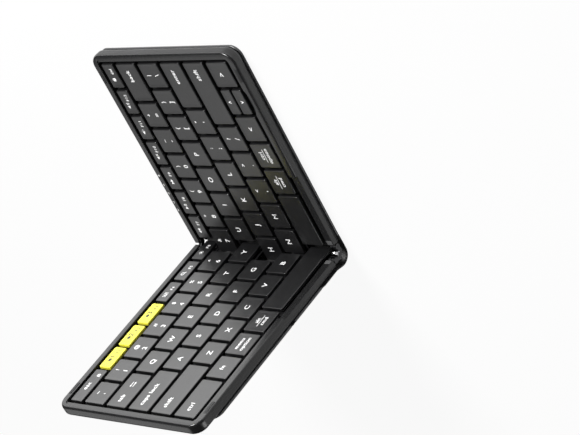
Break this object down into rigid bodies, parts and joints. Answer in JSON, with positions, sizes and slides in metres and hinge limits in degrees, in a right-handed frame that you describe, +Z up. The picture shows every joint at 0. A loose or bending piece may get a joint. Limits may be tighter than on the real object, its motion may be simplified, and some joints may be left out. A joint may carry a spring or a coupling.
{
  "type": "folding keyboard",
  "caption": "Two-part folding keyboard on a double-axis link hinge, in a leather cover with a sliding, creased stand flap.",
  "frame": {"origin": "on the leather face that the right half lies on, under the hinge line, midway between the front and back edges", "axes": "+Z up through the keys of the right half, +X from the hinge line to the right half's outer end, +Y from the front edge to the back edge"},
  "size_m": [0.1549, 0.1172, 0.1516],
  "materials": {
    "case": "satin moulded charcoal plastic with a fine texture",
    "keycap": "matt charcoal keycap plastic with white printed legends",
    "device_key": "matt lemon-yellow keycap plastic with dark printed legends",
    "leather": "fine pebbled charcoal leather",
    "steel": "satin steel",
    "dark_plate": "black coated steel",
    "membrane": "black printed film",
    "dome_rubber": "translucent grey rubber",
    "scissor": "pale moulded plastic",
    "board": "green solder mask",
    "cell": "foil pouch",
    "light": "white diffusing plastic",
    "bumper": "soft black rubber",
    "ribbon": "amber flexible circuit",
    "magnet": "plated magnet"
  },
  "bodies": {
    "right_half": {"right_top_case": "case", "right_bottom_shell": "case", "right_support_plate": "dark_plate", "right_membrane": "membrane", "right_domes": "dome_rubber", "right_scissors": "scissor", "circuit_board": "board", "battery": "cell", "charging_port": "steel", "status_lights": "light", "right_bumpers": "bumper", "right_screws": "steel", "right_hinge_bracket": "steel", "right_cover_panel": "leather"},
    "link": {"hinge_links": "steel", "hinge_pins": "steel", "ribbon_cable": "ribbon", "spine_leather": "leather"},
    "spine": {"spine_strip": "leather"},
    "left_half": {"left_top_case": "case", "left_bottom_shell": "case", "left_support_plate": "dark_plate", "left_membrane": "membrane", "left_domes": "dome_rubber", "left_scissors": "scissor", "left_bumpers": "bumper", "left_screws": "steel", "left_hinge_bracket": "steel"},
    "flap_slider": {"cover_strip": "leather"},
    "prop": {"prop_panel": "leather", "crease_leather": "leather"},
    "stand": {"stand_panel": "leather", "flap_magnets": "magnet"},
    "esc_key": {"esc_key": "keycap"},
    "device_key_1": {"device_key_1": "device_key"},
    "device_key_2": {"device_key_2": "device_key"},
    "device_key_3": {"device_key_3": "device_key"},
    "function_keys_left": {"function_keys_left": "keycap"},
    "number_keys_left": {"number_keys_left": "keycap"},
    "tab_key": {"tab_key": "keycap"},
    "upper_letters_left": {"upper_letters_left": "keycap"},
    "caps_lock_key": {"caps_lock_key": "keycap"},
    "home_letters_left": {"home_letters_left": "keycap"},
    "left_shift_key": {"left_shift_key": "keycap"},
    "lower_letters_left": {"lower_letters_left": "keycap"},
    "modifier_keys_left": {"modifier_keys_left": "keycap"},
    "left_space_key": {"left_space_key": "keycap"},
    "function_keys_right": {"function_keys_right": "keycap"},
    "backspace_key": {"backspace_key": "keycap"},
    "number_keys_right": {"number_keys_right": "keycap"},
    "upper_letters_right": {"upper_letters_right": "keycap"},
    "enter_key": {"enter_key": "keycap"},
    "home_letters_right": {"home_letters_right": "keycap"},
    "right_shift_key": {"right_shift_key": "keycap"},
    "lower_letters_right": {"lower_letters_right": "keycap"},
    "side_arrow_keys": {"side_arrow_keys": "keycap"},
    "arrow_up_key": {"arrow_up_key": "keycap"},
    "arrow_down_key": {"arrow_down_key": "keycap"},
    "modifier_keys_right": {"modifier_keys_right": "keycap"},
    "right_space_key": {"right_space_key": "keycap"}
  },
  "joints": [
    {"name": "fold_lower", "type": "hinge", "parent": "right_half", "child": "link", "pos_m": [0.004, 0, 0.00576], "axis": [0, 1, 0], "range_deg": [-44.3, 45.7], "deforming": ["ribbon_cable", "spine_leather"]},
    {"name": "fold_upper", "type": "hinge", "parent": "link", "child": "left_half", "pos_m": [-0.00173, 0, 0.01135], "axis": [0, 1, 0], "range_deg": [-44.4, 45.8]},
    {"name": "spine_slide", "type": "slide", "parent": "link", "child": "spine", "axis": [-0.6984, 0, -0.7157], "range_m": [-0.00456, 0.0047]},
    {"name": "flap_slide", "type": "slide", "parent": "left_half", "child": "flap_slider", "axis": [0.0244, 0, -0.9997], "range_m": [-0.01315, 0.01356], "deforming": ["cover_strip"]},
    {"name": "flap_prop", "type": "hinge", "parent": "flap_slider", "child": "prop", "pos_m": [-0.00793, 0, 0.02935], "axis": [0, -1, 0], "range_deg": [0, 60]},
    {"name": "flap_stand", "type": "hinge", "parent": "prop", "child": "stand", "pos_m": [-0.00867, 0, 0.05994], "axis": [0, 1, 0], "range_deg": [0, 80.5], "deforming": ["crease_leather"]},
    {"name": "press_esc_key", "type": "slide", "parent": "left_half", "child": "esc_key", "axis": [-0.9997, 0, -0.0244], "range_m": [0, 0.0013], "stiffness_N_per_m": 450, "deforming": ["left_domes", "left_scissors"]},
    {"name": "press_device_key_1", "type": "slide", "parent": "left_half", "child": "device_key_1", "axis": [-0.9997, 0, -0.0244], "range_m": [0, 0.0013], "stiffness_N_per_m": 450},
    {"name": "press_device_key_2", "type": "slide", "parent": "left_half", "child": "device_key_2", "axis": [-0.9997, 0, -0.0244], "range_m": [0, 0.0013], "stiffness_N_per_m": 450},
    {"name": "press_device_key_3", "type": "slide", "parent": "left_half", "child": "device_key_3", "axis": [-0.9997, 0, -0.0244], "range_m": [0, 0.0013], "stiffness_N_per_m": 450},
    {"name": "press_function_keys_left", "type": "slide", "parent": "left_half", "child": "function_keys_left", "axis": [-0.9997, 0, -0.0244], "range_m": [0, 0.0013], "stiffness_N_per_m": 450},
    {"name": "press_number_keys_left", "type": "slide", "parent": "left_half", "child": "number_keys_left", "axis": [-0.9997, 0, -0.0244], "range_m": [0, 0.0013], "stiffness_N_per_m": 450},
    {"name": "press_tab_key", "type": "slide", "parent": "left_half", "child": "tab_key", "axis": [-0.9997, 0, -0.0244], "range_m": [0, 0.0013], "stiffness_N_per_m": 450},
    {"name": "press_upper_letters_left", "type": "slide", "parent": "left_half", "child": "upper_letters_left", "axis": [-0.9997, 0, -0.0244], "range_m": [0, 0.0013], "stiffness_N_per_m": 450},
    {"name": "press_caps_lock_key", "type": "slide", "parent": "left_half", "child": "caps_lock_key", "axis": [-0.9997, 0, -0.0244], "range_m": [0, 0.0013], "stiffness_N_per_m": 450},
    {"name": "press_home_letters_left", "type": "slide", "parent": "left_half", "child": "home_letters_left", "axis": [-0.9997, 0, -0.0244], "range_m": [0, 0.0013], "stiffness_N_per_m": 450},
    {"name": "press_left_shift_key", "type": "slide", "parent": "left_half", "child": "left_shift_key", "axis": [-0.9997, 0, -0.0244], "range_m": [0, 0.0013], "stiffness_N_per_m": 450},
    {"name": "press_lower_letters_left", "type": "slide", "parent": "left_half", "child": "lower_letters_left", "axis": [-0.9997, 0, -0.0244], "range_m": [0, 0.0013], "stiffness_N_per_m": 450},
    {"name": "press_modifier_keys_left", "type": "slide", "parent": "left_half", "child": "modifier_keys_left", "axis": [-0.9997, 0, -0.0244], "range_m": [0, 0.0013], "stiffness_N_per_m": 450},
    {"name": "press_left_space_key", "type": "slide", "parent": "left_half", "child": "left_space_key", "axis": [-0.9997, 0, -0.0244], "range_m": [0, 0.0013], "stiffness_N_per_m": 450},
    {"name": "press_function_keys_right", "type": "slide", "parent": "right_half", "child": "function_keys_right", "axis": [0, 0, -1], "range_m": [0, 0.0013], "stiffness_N_per_m": 450, "deforming": ["right_domes", "right_scissors"]},
    {"name": "press_backspace_key", "type": "slide", "parent": "right_half", "child": "backspace_key", "axis": [0, 0, -1], "range_m": [0, 0.0013], "stiffness_N_per_m": 450},
    {"name": "press_number_keys_right", "type": "slide", "parent": "right_half", "child": "number_keys_right", "axis": [0, 0, -1], "range_m": [0, 0.0013], "stiffness_N_per_m": 450},
    {"name": "press_upper_letters_right", "type": "slide", "parent": "right_half", "child": "upper_letters_right", "axis": [0, 0, -1], "range_m": [0, 0.0013], "stiffness_N_per_m": 450},
    {"name": "press_enter_key", "type": "slide", "parent": "right_half", "child": "enter_key", "axis": [0, 0, -1], "range_m": [0, 0.0013], "stiffness_N_per_m": 450},
    {"name": "press_home_letters_right", "type": "slide", "parent": "right_half", "child": "home_letters_right", "axis": [0, 0, -1], "range_m": [0, 0.0013], "stiffness_N_per_m": 450},
    {"name": "press_right_shift_key", "type": "slide", "parent": "right_half", "child": "right_shift_key", "axis": [0, 0, -1], "range_m": [0, 0.0013], "stiffness_N_per_m": 450},
    {"name": "press_lower_letters_right", "type": "slide", "parent": "right_half", "child": "lower_letters_right", "axis": [0, 0, -1], "range_m": [0, 0.0013], "stiffness_N_per_m": 450},
    {"name": "press_side_arrow_keys", "type": "slide", "parent": "right_half", "child": "side_arrow_keys", "axis": [0, 0, -1], "range_m": [0, 0.0013], "stiffness_N_per_m": 450},
    {"name": "press_arrow_up_key", "type": "slide", "parent": "right_half", "child": "arrow_up_key", "axis": [0, 0, -1], "range_m": [0, 0.0013], "stiffness_N_per_m": 450},
    {"name": "press_arrow_down_key", "type": "slide", "parent": "right_half", "child": "arrow_down_key", "axis": [0, 0, -1], "range_m": [0, 0.0013], "stiffness_N_per_m": 450},
    {"name": "press_modifier_keys_right", "type": "slide", "parent": "right_half", "child": "modifier_keys_right", "axis": [0, 0, -1], "range_m": [0, 0.0013], "stiffness_N_per_m": 450},
    {"name": "press_right_space_key", "type": "slide", "parent": "right_half", "child": "right_space_key", "axis": [0, 0, -1], "range_m": [0, 0.0013], "stiffness_N_per_m": 450}
  ],
  "couplings": [
    {"joint": "fold_upper", "follows": "fold_lower", "ratio": 1},
    {"joint": "spine_slide", "follows": "fold_lower", "m_per_rad": 0.005767},
    {"joint": "flap_slide", "follows": "fold_lower", "m_per_rad": 0.016873},
    {"joint": "flap_stand", "follows": "flap_prop", "ratio": 1.3333}
  ]
}
